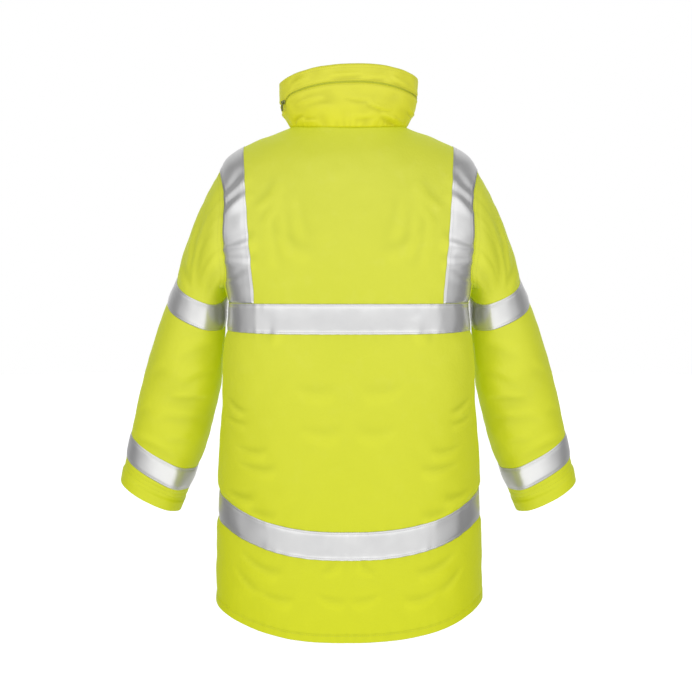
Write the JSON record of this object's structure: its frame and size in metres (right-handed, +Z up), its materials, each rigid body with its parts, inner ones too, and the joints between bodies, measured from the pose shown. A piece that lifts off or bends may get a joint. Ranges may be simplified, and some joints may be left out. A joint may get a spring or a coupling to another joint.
{
  "type": "hi-vis work jacket",
  "caption": "Worn, hollow high-visibility work jacket with a stand collar, reflective tapes, a front zip and a hood zip round the collar.",
  "frame": {"origin": "middle of the neck seam, where the wearer's shoulders and neck carry the jacket", "axes": "+Z up, the jacket's front faces -Y and its back +Y, the wearer's left is +X"},
  "size_m": [0.8414, 0.3895, 0.9365],
  "materials": {
    "hi_vis_cloth": "fluorescent yellow woven polyester, coated, soft sheen",
    "reflective_tape": "silver retroreflective glass-bead tape, satin",
    "zip_tape": "woven zip tape with moulded teeth",
    "zip_metal": "painted die-cast metal, satin"
  },
  "bodies": {
    "root": {"back": "hi_vis_cloth", "front_left": "hi_vis_cloth", "front_right": "hi_vis_cloth", "sleeve_left": "hi_vis_cloth", "sleeve_right": "hi_vis_cloth", "collar_lower": "hi_vis_cloth", "collar_upper": "hi_vis_cloth", "back_chest_tape": "reflective_tape", "back_hem_tape": "reflective_tape", "front_chest_tape_left": "reflective_tape", "front_chest_tape_right": "reflective_tape", "front_hem_tape_left": "reflective_tape", "front_hem_tape_right": "reflective_tape", "strap_tape_back_left": "reflective_tape", "strap_tape_back_right": "reflective_tape", "strap_tape_front_left": "reflective_tape", "strap_tape_front_right": "reflective_tape", "sleeve_tape_upper_left": "reflective_tape", "sleeve_tape_upper_right": "reflective_tape", "sleeve_tape_lower_left": "reflective_tape", "sleeve_tape_lower_right": "reflective_tape", "hood_zip_tape": "zip_tape", "front_zip_tape_left": "zip_tape", "front_zip_tape_right": "zip_tape", "hood_zip_slider": "zip_metal", "front_zip_slider": "zip_metal"},
    "hood_pull": {"hood_zip_pull": "zip_metal"},
    "front_pull": {"front_zip_pull": "zip_metal"}
  },
  "joints": [
    {"name": "hood_pull_hinge", "type": "hinge", "parent": "root", "child": "hood_pull", "pos_m": [0.1108, 0.04208, 0.05724], "axis": [0.5011, -0.8654, 0], "range_deg": [0, 150]},
    {"name": "front_pull_hinge", "type": "hinge", "parent": "root", "child": "front_pull", "pos_m": [0, -0.1121, 0.05568], "axis": [-1, 0, 0], "range_deg": [0, 150]}
  ]
}
